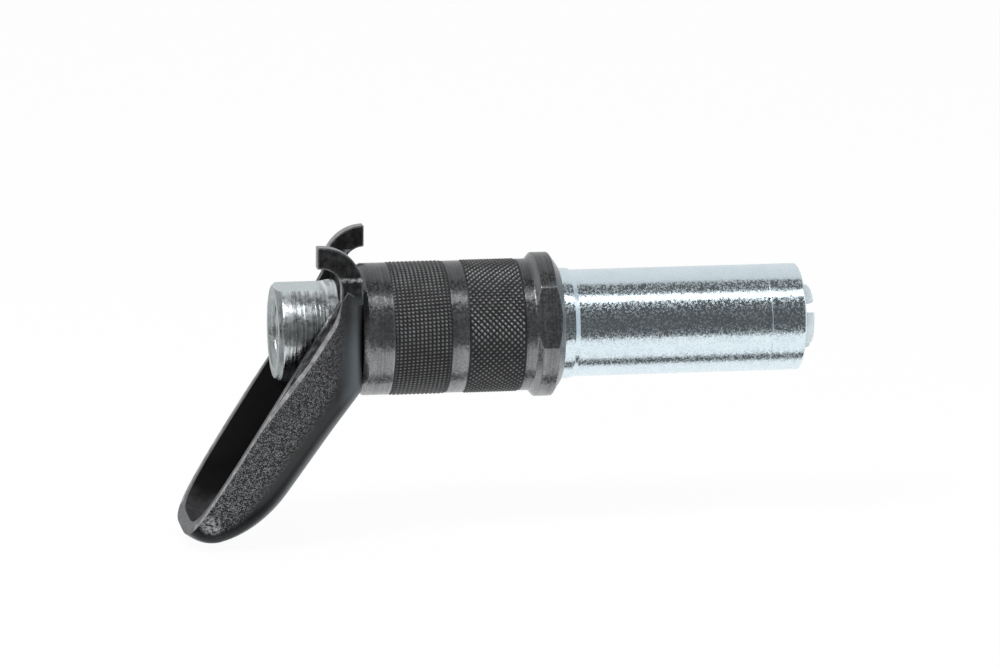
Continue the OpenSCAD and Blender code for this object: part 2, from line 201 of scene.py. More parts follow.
LEVER_ROUND = 0.2
LEVER_ROUND_ANGLE = 38.0
GRIP_COS, GRIP_SIN, GRIP_TAN = math.cos(GRIP_ANGLE), math.sin(GRIP_ANGLE), math.tan(GRIP_ANGLE)
HEEL_N = HEAD_X * GRIP_COS - HEAD_EDGE_Z * GRIP_SIN + HEEL_ROOM + LEVER_T
HEEL_Z = -(HEEL_N - PLATE_FRONT * GRIP_COS) / GRIP_SIN
HEEL_IN_U = LEVER_T * (GRIP_SIN - (1.0 - GRIP_COS) / GRIP_TAN)

# How finely the meshes and edges are drawn
JOIN = 0.004
BEVEL_SAMPLES = 4
AROUND = 288
NOSE_AROUND = 256
THREAD_AROUND = 144
PASSAGE_AROUND = 96
HEAD_STEP = 0.2
THREAD_STEP = 0.1
COLLAR_STEP = 0.25
KNURL_AROUND = 864
KNURL_ALONG = 112
JAW_STEPS = 40
HOOK_STEPS = 24
HOLE_STEPS = 96
TURN_STEPS = 48
WIRE_SIDES = 16


def smooth_step(t):
    """An S-shaped rise from 0 to 1."""
    t = min(1.0, max(0.0, t))
    return t * t * (3.0 - 2.0 * t)


# Mesh helpers

def link_object(name, data):
    """A new object in the scene."""
    obj = bpy.data.objects.new(name, data)
    bpy.context.scene.collection.objects.link(obj)
    return obj


def add_object(name, verts, faces, materials, sharp_deg=32.0, face_slots=None):
    """A smooth shaded mesh object from points in millimetres."""
    mesh = bpy.data.meshes.new(name)
    points = np.asarray(verts, dtype=float) * MM
    mesh.from_pydata(points.tolist(), [], faces, shade_flat=False)
    for material in materials:
        mesh.materials.append(MATS[material])
    if face_slots is not None:
        mesh.polygons.foreach_set("material_index", np.asarray(face_slots, dtype=np.int32))
    mesh.validate()
    mesh.update()
    mesh.set_sharp_from_angle(angle=math.radians(sharp_deg))
    return link_object(name, mesh)


def face_outward(obj, join_mm=0.0):
    """Join the points of a closed mesh that lie within a distance, and turn its faces outward."""
    bm = bmesh.new()
    bm.from_mesh(obj.data)
    if join_mm > 0.0:
        bmesh.ops.remove_doubles(bm, verts=bm.verts, dist=join_mm * MM)
    bmesh.ops.recalc_face_normals(bm, faces=bm.faces)
    bm.to_mesh(obj.data)
    bm.free()


def round_edges(obj, width_mm, angle_deg, segments):
    bevel = obj.modifiers.new("edges", "BEVEL")
    bevel.width = width_mm * MM
    bevel.segments = segments
    bevel.limit_method = "ANGLE"
    bevel.angle_limit = math.radians(angle_deg)


def grid_faces(rows, cols, wrap_rows=False, wrap_cols=True):
    """Four-sided faces over a grid of points, closed on itself where it wraps."""
    faces = []
    for i in range(rows if wrap_rows else rows - 1):
        j = (i + 1) % rows
        for k in range(cols if wrap_cols else cols - 1):
            n = (k + 1) % cols
            faces.append((i * cols + k, i * cols + n, j * cols + n, j * cols + k))
    return faces


def fillet(points, radius, steps=4):
    """Round the inner corners of a profile, each by its own radius in millimetres."""
    nearly_straight, most_of_side = math.radians(88.0), 0.45
    out = [points[0]]
    for i in range(1, len(points) - 1):
        r = radius[i]
        a, b, c = (np.array(points[k], dtype=float) for k in (i - 1, i, i + 1))
        ab, cb = a - b, c - b
        la, lc = np.linalg.norm(ab), np.linalg.norm(cb)
        ab, cb = ab / la, cb / lc
        half = math.acos(max(-1.0, min(1.0, float(ab @ cb)))) / 2.0
        if r <= 0.0 or half > nearly_straight:
            out.append(tuple(b))
            continue
        reach = min(r / math.tan(half), la * most_of_side, lc * most_of_side)
        r = reach * math.tan(half)
        mid = (ab + cb) / np.linalg.norm(ab + cb)
        centre = b + mid * (r / math.sin(half))
        start, end = b + ab * reach - centre, b + cb * reach - centre
        a0 = math.atan2(start[1], start[0])
        turn = math.atan2(end[1], end[0]) - a0
        turn = (turn + math.pi) % math.tau - math.pi
        for k in range(steps + 1):
            angle = a0 + turn * k / steps
            out.append((centre[0] + r * math.cos(angle), centre[1] + r * math.sin(angle)))
    out.append(points[-1])
    return out


def around(x, r, angle):
    """The point at a radius and an angle about the X axis."""
    return x, r * math.cos(angle), r * math.sin(angle)


def between(a, b, share):
    """The point at a share of the way from one point to another."""
    return tuple(p + (q - p) * share for p, q in zip(a, b))


def revolve(profile, steps, shape=None, closed=False):
    """Points and faces of a profile of (x, radius) turned about the X axis."""
    angles = [math.tau * k / steps for k in range(steps)]
    verts = []
    for x, r in profile:
        for angle in angles:
            point = around(x, r, angle)
            verts.append(point if shape is None else shape(*point))
    return verts, grid_faces(len(profile), steps, wrap_rows=closed)


def dense(profile, step):
    """Add points so that no piece of the profile is longer than a step."""
    out = [profile[0]]
    for a, b in zip(profile[:-1], profile[1:]):
        length = math.hypot(b[0] - a[0], b[1] - a[1])
        count = max(1, int(math.ceil(length / step)))
        for k in range(1, count + 1):
            out.append(between(a, b, k / count))
    return out


def extrude(outline, at, low, high):
    """A prism between two depths over an outline."""
    count = len(outline)
    verts = [at(p, low) for p in outline] + [at(p, high) for p in outline]
    faces = [tuple(range(count)), tuple(range(2 * count - 1, count - 1, -1))]
    for k in range(count):
        n = (k + 1) % count
        faces.append((k, k + count, n + count, n))
    return verts, faces


# Material helpers

def set_stops(node, stops):
    """Give a colour ramp its stops, in order, as grey levels or colours."""
    elements = node.color_ramp.elements
    elements[0].position = stops[0][0]
    elements[1].position = stops[-1][0]
    middle = [elements.new(place) for place, _ in stops[1:-1]]
    for element, (_, colour) in zip([elements[0]] + middle + [elements[len(elements) - 1]], stops):
        element.color = (*colour, 1.0) if isinstance(colour, tuple) else (colour, colour, colour, 1.0)


def set_inputs(node, inputs):
    """Give a node's sockets their values; an underscore stands for a space in a socket's name."""
    for key, value in inputs.items():
        node.inputs[key.replace("_", " ")].default_value = value


class Tree:
    """Short names for building a tree of nodes."""

    def __init__(self, tree):
        self.tree = tree
        self.coords = self.add("TexCoord").outputs

    def add(self, kind, **inputs):
        """A shader node, with values for some of its inputs."""
        node = self.tree.nodes.new("ShaderNode" + kind)
        set_inputs(node, inputs)
        return node

    def link(self, out, into):
        self.tree.links.new(out, into)

    def fill(self, sockets, values):
        """Give each socket a link, a colour or a number."""
        for socket, value in zip(sockets, values):
            if isinstance(value, bpy.types.NodeSocket):
                self.link(value, socket)
            elif socket.type == "RGBA":
                socket.default_value = (*value, 1.0)
            else:
                socket.default_value = value

    def ramp(self, value, stops):
        node = self.add("ValToRGB")
        set_stops(node, stops)
        self.link(value, node.inputs["Fac"])
        return node.outputs["Color"]

    def rise(self, value, low, high):
        """0 up to one value, 1 from another."""
        return self.ramp(value, [(low, 0.0), (high, 1.0)])

    def fall(self, value, low, high):
        """1 up to one value, 0 from another."""
        return self.ramp(value, [(low, 1.0), (high, 0.0)])

    def calc(self, operation, *values):
        node = self.add("Math")
        node.operation = operation
        self.fill(node.inputs, values)
        return node.outputs["Value"]

    plus = partialmethod(calc, "ADD")
    minus = partialmethod(calc, "SUBTRACT")
    times = partialmethod(calc, "MULTIPLY")
    over = partialmethod(calc, "DIVIDE")
    larger = partialmethod(calc, "MAXIMUM")
    size = partialmethod(calc, "ABSOLUTE")

    def vector(self, operation, *values):
        """One step of vector math, with all the outputs of its node."""
        node = self.add("VectorMath")
        node.operation = operation
        self.fill(node.inputs, values)
        return node.outputs

    def mix(self, factor, a, b):
        node = self.add("Mix")
        node.data_type = "RGBA"
        self.fill([node.inputs[name] for name in ("Factor", "A", "B")], (factor, a, b))
        return node.outputs["Result"]

    def mix_shader(self, factor, a, b):
        node = self.add("MixShader")
        self.fill(node.inputs, (factor, a, b))
        return node.outputs["Shader"]

    def share(self, value, low, high):
        """How far a value lies from low to high, kept between 0 and 1."""
        node = self.add("MapRange", From_Min=low, From_Max=high)
        self.link(value, node.inputs["Value"])
        return node.outputs["Result"]

    def part_of(self, socket, axis):
        """One coordinate of the points or normals."""
        split = self.add("SeparateXYZ")
        self.link(self.coords[socket], split.inputs["Vector"])
        return split.outputs[axis]


class Nodes(Tree):
    """Short names for building one material's nodes."""

    def __init__(self, name, **inputs):
        self.material = bpy.data.materials.new(name)
        self.material.use_nodes = True
        super().__init__(self.material.node_tree)
        self.bsdf = self.tree.nodes["Principled BSDF"]
        set_inputs(self.bsdf, inputs)

    def noise(self, per_mm, detail=3.0, roughness=0.55, stretch=(1.0, 1.0, 1.0)):
        node = self.add("TexNoise", Scale=per_mm / MM, Detail=detail, Roughness=roughness)
        mapping = self.add("Mapping", Scale=stretch)
        self.link(self.coords["Object"], mapping.inputs["Vector"])
        self.link(mapping.outputs["Vector"], node.inputs["Vector"])
        return node.outputs["Fac"]

    def bump(self, height, distance_mm):
        node = self.add("Bump", Strength=1.0, Distance=distance_mm * MM)
        self.link(height, node.inputs["Height"])
        return node.outputs["Normal"]

    def worn_edge(self, radius_mm, low, high):
        """1 along convex and concave edges, 0 on open faces."""
        bevel = self.add("Bevel", Radius=radius_mm * MM)
        bevel.samples = BEVEL_SAMPLES
        plain = self.add("NewGeometry")
        dot = self.vector("DOT_PRODUCT", bevel.outputs["Normal"], plain.outputs["Normal"])
        return self.rise(self.minus(1.0, dot["Value"]), low, high)

    def along_axis(self, x_mm, half_mm):
        """1 in a thin ring around the axis, 0 elsewhere."""
        off = self.size(self.minus(self.part_of("Object", "X"), x_mm * MM))
        return self.fall(self.over(off, half_mm * MM), 0.4, 1.0)

    def cells(self, cells_per_mm):
        """Small cells, with a colour of its own for each."""
        node = self.add("TexVoronoi", Scale=cells_per_mm / MM, Randomness=1.0)
        self.link(self.coords["Object"], node.inputs["Vector"])
        return node.outputs

    def near(self, point_mm, inner_mm, outer_mm):
        """1 close to a point of the object, 0 away from it."""
        gap = self.vector("DISTANCE", self.coords["Object"], tuple(p * MM for p in point_mm))
        share = self.over(gap["Value"], outer_mm * MM)
        return self.fall(share, inner_mm / outer_mm, 1.0)

    def crystals(self, cells_per_mm, tilt, below):
        """Normals that lean a little, each small cell its own way."""
        middle = (0.5, 0.5, 0.5)
        own = self.vector("SUBTRACT", self.cells(cells_per_mm)["Color"], middle)
        lean = self.vector("MULTIPLY_ADD", own["Vector"], (tilt, tilt, tilt), below)
        return self.vector("NORMALIZE", lean["Vector"])["Vector"]

    def by_noise(self, noise, low, high):
        """A value that goes from low to high with a noise."""
        noise_low, noise_high = 0.3, 0.7
        return self.ramp(noise, [(noise_low, low), (noise_high, high)])

    def surface(self, colour, rough, normal):
        """The finished material."""
        for name, out in (("Base Color", colour), ("Roughness", rough), ("Normal", normal)):
            self.link(out, self.bsdf.inputs[name])
        return self.material


def zinc_bright():
    """Bright zinc plate with a fine sparkling grain and one faint ring near the front."""
    n = Nodes("zinc_bright", Metallic=1.0)
    cloud = n.noise(0.25, detail=4.0)
    ring = n.along_axis(RING_X, 0.11)
    base = n.mix(cloud, (0.70, 0.82, 0.88), (0.84, 0.94, 0.98))
    dull = n.ramp(n.cells(4.2)["Color"], [(0.40, 0.13), (0.74, 0.36)])
    rough = n.larger(dull, n.times(ring, 0.27))
    return n.surface(base, rough, n.crystals(4.2, 0.07, n.bump(ring, 0.03)))


def zinc_turned():
    """Zinc plate over turned steel: rings around the axis, broken up by mottling."""
    n = Nodes("zinc_turned", Metallic=1.0)
    rings = n.noise(1.0, detail=2.0, roughness=0.6, stretch=(2.5, 0.08, 0.08))
    mottle = n.noise(0.9, roughness=0.6)
    streak = n.plus(n.times(rings, 0.85), n.times(mottle, 0.15))
    tone = n.ramp(streak, [(0.34, (0.32, 0.34, 0.35)), (0.5, (0.66, 0.70, 0.71)),
                           (0.62, (0.90, 0.93, 0.94))])
    up = n.size(n.part_of("Normal", "Z"))
    end = n.size(n.part_of("Normal", "X"))
    milled = n.rise(up, 0.95, 0.985)
    faced = n.rise(end, 0.45, 0.85)
    plain = n.mix(mottle, (0.53, 0.60, 0.61), (0.57, 0.64, 0.65))
    grey = n.mix(mottle, (0.09, 0.105, 0.105), (0.23, 0.26, 0.26))
    flats = n.mix(faced, n.mix(milled, tone, plain), grey)
    colour = n.mix(n.worn_edge(0.2, 0.06, 0.3), flats, (0.80, 0.85, 0.86))
    rough = n.by_noise(mottle, 0.20, 0.36)
    return n.surface(colour, rough, n.crystals(3.0, 0.07, n.bump(rings, 0.09)))


def black_oxide():
    """Black oxide over turned steel: semi-gloss, with faint rings, and painted light: paler towards the
    underside and darker on top.
    """
    n = Nodes("black_oxide", Metallic=0.9)
    rings = n.noise(1.0, detail=4.0, roughness=0.7, stretch=(3.0, 0.04, 0.04))
    cloud = n.noise(0.30, detail=5.0, roughness=0.62)
    scuff = n.plus(n.times(rings, 0.75), n.times(cloud, 0.25))
    # Painted light and shade: a darker tone where the surface faces up, a paler one where it faces down
    # towards the floor
    upper = n.ramp(scuff, [(0.32, (0.070, 0.071, 0.073)), (0.68, (0.165, 0.167, 0.171))])
    lower = n.ramp(scuff, [(0.32, (0.165, 0.167, 0.170)), (0.68, (0.370, 0.374, 0.380))])
    facing_up = n.plus(n.times(n.part_of("Normal", "Z"), 0.5), 0.5)
    tone = n.mix(n.ramp(facing_up, [(0.2, 1.0), (0.65, 0.5), (0.95, 0.0)]), upper, lower)
    colour = n.mix(n.worn_edge(0.25, 0.03, 0.25), tone, (0.26, 0.26, 0.265))
    rough = n.ramp(n.cells(3.0)["Color"], [(0.36, 0.20), (0.66, 0.36)])
    return n.surface(colour, rough, n.crystals(3.0, 0.10, n.bump(rings, 0.014)))


def knurl_black():
    """Black oxide of the knurl: dark in the grooves, rubbed paler on the tips."""
    n = Nodes("knurl_black", Metallic=0.85)
    y, z = n.part_of("Object", "Y"), n.part_of("Object", "Z")
    radius = n.calc("SQRT", n.plus(n.times(y, y), n.times(z, z)))
    tip = n.over(n.minus(radius, (BODY_R - KNURL_DEPTH) * MM), KNURL_DEPTH * MM)
    patch = n.noise(0.5)
    worn = n.plus(tip, n.times(n.minus(patch, 0.5), 0.5))
    colour = n.ramp(worn, [(0.2, (0.036, 0.036, 0.037)), (0.7, (0.115, 0.115, 0.117)),
                           (1.0, (0.30, 0.30, 0.30))])
    return n.surface(colour, n.by_noise(patch, 0.34, 0.5), n.bump(n.noise(4.0, detail=2.0), 0.012))


def lever_places(n):
    """How far a point lies along the grip and up from the spine, as shares of its length and depth."""
    back = n.minus(PLATE_FRONT * MM, n.part_of("Object", "X"))
    up = n.minus(n.part_of("Object", "Z"), HEEL_Z * MM)
    along = n.minus(n.times(back, GRIP_SIN), n.times(up, GRIP_COS))
    off = n.plus(n.times(back, GRIP_COS), n.times(up, GRIP_SIN))
    return n.over(along, GRIP_LEN * MM), n.over(off, GRIP_DEPTH * MM)


def lever_coat():
    """Grained black coat: pebbled on the walls and smooth on the spine, with painted light: a blue-grey sheen
    at grazing angles, a pale reflection near the front and pale grain tops as highlights.
    """
    n = Nodes("lever_coat", Metallic=0.0, Specular_IOR_Level=0.5)
    side = n.size(n.part_of("Normal", "Y"))
    flat = n.rise(side, 0.80, 0.985)
    to_front = n.over(n.part_of("Object", "X"), PLATE_FRONT * MM)
    off_front = n.times(flat, n.fall(to_front, 0.56, 0.76))
    along, from_spine = lever_places(n)
    on_wall = n.times(off_front, n.rise(from_spine, 0.30, 0.46))
    pebble = n.minus(1.0, n.cells(3.9)["Distance"])
    patch = n.noise(1.6, roughness=0.7)
    height = n.times(pebble, on_wall)
    cloud = n.noise(0.2, detail=4.0)
    black = n.mix(cloud, (0.004, 0.004, 0.0045), (0.010, 0.0102, 0.011))
    # Painted sheen: a blue-grey tone at grazing angles, away from the pebbled walls
    facing = n.add("LayerWeight", Blend=0.35).outputs["Facing"]
    painted_light = n.times(n.rise(facing, 0.25, 0.95), n.minus(1.0, on_wall))
    # Painted reflection: a pale band near the front of the lever, fainter higher up
    height_share = n.plus(n.over(n.part_of("Object", "Z"), PLATE_TOP * MM), 0.5)
    below_hook = n.ramp(height_share, [(0.40, 1.0), (1.0, 0.3)])
    painted_reflection_band = n.times(n.ramp(to_front, [(0.66, 0.0), (0.90, 0.75)]), below_hook)
    # The painted sheen and reflection fade out at the front edge
    off_edge = n.ramp(to_front, [(0.90, 1.0), (0.97, 0.15)])
    painted_light_share = n.times(n.larger(painted_light, painted_reflection_band), off_edge)
    base = n.mix(painted_light_share, black, (0.10, 0.115, 0.125))
    # Painted highlights: pale tops of the grain on the walls, paler towards the tip
    top = n.rise(n.times(pebble, patch), 0.18, 0.45)
    pale = n.mix(along, (0.130, 0.130, 0.135), (0.225, 0.225, 0.231))
    grained = n.mix(n.times(top, on_wall), base, pale)
    rubbed = n.times(n.worn_edge(0.3, 0.06, 0.3), n.noise(0.5, detail=4.0))
    for point, inner, outer in WORN_PLACES:
        place_worn = n.times(n.near(point, inner, outer), n.ramp(patch, [(0.4, 0.0), (0.6, 0.6)]))
        rubbed = n.larger(rubbed, place_worn)
    colour = n.mix(rubbed, grained, (0.55, 0.55, 0.56))
    return n.surface(colour, n.ramp(on_wall, [(0.0, 0.36), (1.0, 0.30)]), n.bump(height, 0.20))


def hook_coat():
    """Smooth black coat of the finger hooks, rubbed pale along the edges."""
    n = Nodes("hook_coat", Metallic=0.0, Specular_IOR_Level=0.4)
    patch = n.noise(0.8, detail=4.0, roughness=0.7)
    black = n.ramp(patch, [(0.45, (0.005, 0.005, 0.0055)), (0.75, (0.030, 0.030, 0.031))])
    edge_face = n.ramp(n.size(n.part_of("Normal", "Y")), [(0.3, 0.45), (0.8, 0.0)])
    height = n.part_of("Object", "Z")
    fold = n.over(n.size(n.minus(height, HOOK_FOLD_Z * MM)), HOOK_FOLD_HALF * MM)
    scratched = n.ramp(patch, [(0.42, 0.0), (0.6, 0.8)])
    crease = n.times(n.fall(fold, 0.2, 1.0), scratched)
    above = n.rise(n.over(height, HOOK_FOLD_Z * MM), 0.68, 0.78)
    base = n.mix(above, (0.030, 0.034, 0.037), black)
    edges = n.larger(n.worn_edge(0.45, 0.03, 0.14), edge_face)
    rubbed = n.times(n.times(edges, above), n.ramp(patch, [(0.3, 0.6), (0.6, 1.0)]))
    colour = n.mix(n.larger(rubbed, crease), base, (0.50, 0.50, 0.51))
    return n.surface(colour, n.by_noise(patch, 0.34, 0.48), n.bump(n.noise(1.6), 0.03))


def lever_inside():
    """Near-black coat inside the lever's channel, with painted light in the tip: scratched grey where light
    falls on its inner end.
    """
    n = Nodes("lever_inside", Metallic=0.0, Specular_IOR_Level=0.28)
    cloud = n.noise(0.3, detail=4.0)
    scratch = n.noise(1.2)
    black = n.mix(cloud, (0.003, 0.003, 0.0035), (0.008, 0.008, 0.009))
    along, _ = lever_places(n)
    near_tip = n.rise(n.plus(along, n.times(cloud, 0.08)), 0.87, 0.99)
    # The painted light is faint on the near side, where the corner of the tip stays dark
    across = n.over(n.part_of("Object", "Y"), GRIP_W * MM)
    painted_light = n.times(near_tip, n.ramp(n.plus(across, 0.5), [(0.18, 0.1), (0.34, 1.0)]))
    grey = n.mix(scratch, (0.020, 0.021, 0.022), (0.12, 0.12, 0.125))
    return n.surface(n.mix(painted_light, black, grey), n.by_noise(cloud, 0.45, 0.6), n.bump(scratch, 0.02))


def lever_rim():
    """Cut edges of the lever, with the coat rubbed to pale grey."""
    n = Nodes("lever_rim", Metallic=0.3)
    streak = n.noise(0.7, detail=4.0, roughness=0.65)
    colour = n.ramp(streak, [(0.3, (0.08, 0.08, 0.083)), (0.5, (0.23, 0.23, 0.237)),
                             (0.75, (0.46, 0.46, 0.47))])
    return n.surface(colour, n.by_noise(streak, 0.5, 0.38), n.bump(n.noise(2.5, detail=2.0), 0.03))


def scratched_coat(name, dark, light, along):
    """Black coat with pale scratches, as on the dark part of the rim and around the tip."""
    n = Nodes(name, Metallic=0.2)
    scratch = n.noise(1.4, roughness=0.7, stretch=along)
    colour = n.ramp(scratch, [(0.45, dark), (0.62, light)])
    return n.surface(colour, n.by_noise(scratch, 0.36, 0.5), n.bump(scratch, 0.04))


def plain_metal(name, dark, light, rough_low, rough_high, stretch, metallic):
    """Turned or drawn metal of the jaws, the springs and the inner pieces."""
    n = Nodes(name, Metallic=metallic)
    marks = n.noise(1.0, stretch=stretch)
    rough = n.by_noise(marks, rough_low, rough_high)
    return n.surface(n.mix(marks, dark, light), rough, n.bump(marks, 0.03))


def rubber():
    """Moulded black rubber of the nose seal."""
    n = Nodes("rubber", Metallic=0.0)
    cloud = n.noise(1.5)
    colour = n.mix(cloud, (0.020, 0.020, 0.020), (0.040, 0.038, 0.037))
    return n.surface(colour, n.by_noise(cloud, 0.55, 0.7), n.bump(cloud, 0.02))


MATS = {make.__name__: make() for make in (
    zinc_bright, zinc_turned, black_oxide, knurl_black, lever_coat, hook_coat, lever_inside, lever_rim,
    rubber)}

# Stretch of the marks along X, Y and Z
TURNED = (2.0, 0.1, 0.1)
EVEN = (1.0, 1.0, 1.0)
ALONG_RIM = (0.5, 2.0, 0.4)

# For each scratched coat: dark tone, light tone and stretch
SCRATCHED = {
    "lever_rim_dark": ((0.006, 0.006, 0.007), (0.07, 0.07, 0.073), ALONG_RIM),
    "lever_tip": ((0.030, 0.031, 0.033), (0.13, 0.13, 0.135), EVEN),
}

# For each plain metal: dark tone, light tone, least and most roughness, stretch and share of metal
PLAIN = {
    "jaw_steel": ((0.72, 0.80, 0.82), (0.86, 0.93, 0.95), 0.42, 0.56, TURNED, 0.35),
    "plain_steel": ((0.42, 0.42, 0.43), (0.58, 0.58, 0.59), 0.25, 0.4, TURNED, 1.0),
    "spring_steel": ((0.30, 0.30, 0.31), (0.46, 0.46, 0.48), 0.25, 0.4, EVEN, 1.0),
    "brass": ((0.60, 0.42, 0.16), (0.78, 0.58, 0.27), 0.22, 0.36, TURNED, 1.0),
    "copper": ((0.58, 0.30, 0.18), (0.76, 0.44, 0.28), 0.28, 0.42, TURNED, 1.0),
}
MATS.update({name: scratched_coat(name, *values) for name, values in SCRATCHED.items()})
MATS.update({name: plain_metal(name, *values) for name, values in PLAIN.items()})


# Inlet stem

def inlet_shape(x, y, z):
    """Mill the two flats of the inlet head, with the round run-out of the cutter."""
    limit = None
    if x <= INLET_FLAT_END:
        limit = INLET_FLAT
    elif x < INLET_FLAT_END + FLAT_CUTTER_R:
        drop = math.sqrt(FLAT_CUTTER_R ** 2 - (x - INLET_FLAT_END) ** 2)
        limit = INLET_FLAT + FLAT_CUTTER_R - drop
    if limit is not None and math.hypot(y, z) > MILL_FROM_R:
        z = max(-limit, min(limit, z))
    return x, y, z


def thread_shape(x, y, z):
    """Cut the hose thread into the bore."""
    angle = math.atan2(z, y)
    turn = (x / THREAD_PITCH - angle / math.tau) % 1.0
    ridge = 1.0 - abs(2.0 * turn - 1.0)
    fade = smooth_step(x / THREAD_FADE) * smooth_step((THREAD_DEPTH - x) / THREAD_FADE)
    scale = 1.0 - THREAD_RIDGE * min(1.0, ridge * RIDGE_GAIN) * fade / THREAD_R
    return x, y * scale, z * scale


def make_inlet():
    outline = [(0.0, THREAD_R), (REAR_X, THREAD_R + MOUTH_EDGE), (REAR_X, INLET_R - INLET_EDGE),
               (REAR_X + INLET_EDGE, INLET_R), (HEAD_X - HEAD_EDGE_LEN, INLET_R),
               (HEAD_X, INLET_R - HEAD_EDGE), (HEAD_X, NECK_R), (NECK_END, NECK_R), (NECK_END, STEM_R),
               (STEM_END, STEM_R), (STEM_END, PASSAGE_R)]
    radius = [0, 0.15, 0.2, 0.4, 0.2, 0.15, 0.1, 0.1, 0.1, 0.2, 0]
    outer = fillet(outline, radius)
    head_end = HEAD_X + 0.01
    head = [p for p in dense(outer, HEAD_STEP) if p[0] < head_end]
    rest = [p for p in outer if p[0] >= head_end]
    verts, faces = revolve(head + rest, AROUND, inlet_shape)
    bore = dense([(0.0, THREAD_R), (THREAD_DEPTH, THREAD_R)], THREAD_STEP)
    bore_verts, bore_faces = revolve(bore, THREAD_AROUND, thread_shape)
    back = [(THREAD_DEPTH, THREAD_R), (THREAD_DEPTH + BORE_CONE, PASSAGE_R), (STEM_END, PASSAGE_R)]
    back_verts, back_faces = revolve(back, PASSAGE_AROUND)
    obj = add_object("inlet_stem_turned", verts, faces, ["zinc_turned"])
    bore_obj = add_object("inlet_thread_bore", bore_verts, [f[::-1] for f in bore_faces],
                          ["plain_steel"], sharp_deg=60.0)
    passage = add_object("inlet_passage", back_verts, [f[::-1] for f in back_faces], ["plain_steel"])
    for piece in (obj, bore_obj, passage):
        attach(piece, "stem")
    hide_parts("inlet_stem")


# Knurled body

def collar_shape(x, y, z):
    """Mill the two wrench flats of the collar."""
    if x > COLLAR_REAR + COLLAR_START:
        for side in (-1.0, 1.0):
            ny, nz = -math.cos(COLLAR_TURN) * side, math.sin(COLLAR_TURN) * side
            past = y * ny + z * nz - COLLAR_FLAT
            if past > 0.0:
                y, z = y - ny * past, z - nz * past
    return x, y, z


def tip_height(u, v):
    """Height over rows of small pyramids, from 0 in the grooves to 1 on the tips."""
    return 1.0 - max(abs(2.0 * (t % 1.0) - 1.0) for t in (u, v))


def diamond_height(row, turn):
    """Height of a diamond knurl."""
    across, along = turn * DIAMOND_TURNS, row * DIAMOND_ROWS
    return tip_height(across + along, across - along)


def grid_height(row, turn):
    """Height of a square knurl, with rows that lean a little along the band."""
    return tip_height(turn * GRID_TURNS + GRID_LEAN * row, row * GRID_ROWS)


def make_knurl(index, start, height):
    """One knurled band, as a fine grid whose points follow the pattern of its knurl."""
    verts = []
    for i in range(KNURL_ALONG + 1):
        t = i / KNURL_ALONG
        x = start + KNURL_LEN * t
        edge = min(1.0, min(t, 1.0 - t) * KNURL_LEN / KNURL_RAMP)
        for k in range(KNURL_AROUND):
            h = min(1.0, height(t, k / KNURL_AROUND) * KNURL_TIP_GAIN)
            r = (BODY_R - KNURL_DEPTH) + KNURL_DEPTH * h
            r = KNURL_END_R + (r - KNURL_END_R) * edge
            angle = math.tau * k / KNURL_AROUND
            verts.append(around(x, r, angle))
    faces = grid_faces(KNURL_ALONG + 1, KNURL_AROUND)
    band = add_object(f"knurl_band_{index}", verts, faces, ["knurl_black"], sharp_deg=180.0)
    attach(band, "sleeve")


def make_body():
    low, deep = BODY_LOW_R, KNURL_SEAT_R
    neck_r, shoulder_r = NECK_R + NECK_PLAY, SHOULDER_R + SHOULDER_PLAY
    outline = [(BODY_X, neck_r), (BODY_X, BODY_R - BODY_EDGE), (BODY_X + BODY_EDGE_LEN, low)]
    for start in KNURL_STARTS:
        outline += [(start, low), (start, deep), (start + KNURL_LEN, deep), (start + KNURL_LEN, low)]
    outline += [(COLLAR_REAR, low), (COLLAR_FULL, COLLAR_R), (COLLAR_EDGE, COLLAR_R),
                (COLLAR_X, COLLAR_R - COLLAR_BEVEL), (COLLAR_X, shoulder_r)]
    radius = [0.0, 0.2, 0.25] + [0.05] * 8 + [0.3, 0.2, 0.2, 0.15, 0.0]
    outer = fillet(outline, radius)
    bore = [(BODY_BORE_END, shoulder_r), (BODY_BORE_END, BODY_BORE_R), (BODY_X + BODY_WALL, BODY_BORE_R),
            (BODY_X + BODY_WALL, neck_r)]
    collar = [p for p in outer if p[0] >= COLLAR_REAR - COLLAR_ROOM]
    front = [p for p in outer if p[0] < COLLAR_REAR - COLLAR_ROOM]
    profile = front + dense(collar, COLLAR_STEP) + bore
    verts, faces = revolve(profile, AROUND, collar_shape, closed=True)
    body = add_object("body_shell", verts, faces, ["black_oxide"])
    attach(body, "sleeve")
    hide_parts("knurled_body")
    for index, height in enumerate((grid_height, diamond_height)):
        make_knurl(index + 1, KNURL_STARTS[index], height)


# Nose sleeve

def make_nose():
    cone = (NOSE_BORE_R - MOUTH_R) / CONE_TAN
    outer = [(NOSE_REAR, NOSE_BORE_R), (NOSE_REAR, SHOULDER_R), (SHOULDER_X - SHOULDER_EDGE, SHOULDER_R),
             (SHOULDER_X, NOSE_R), (NOSE_X, NOSE_R), (NOSE_X, MOUTH_R), (NOSE_X - cone, NOSE_BORE_R)]
    radius = [0, 0.2, 0.3, 0.3, 0.3, 0.2, 0]
    profile = fillet(outer, radius, steps=6)
    verts, faces = revolve(profile, NOSE_AROUND, closed=True)
    nose = add_object("nose_sleeve_turned", verts, faces, ["zinc_bright"])
    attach(nose, "sleeve")
    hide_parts("nose_sleeve")


# Jaws

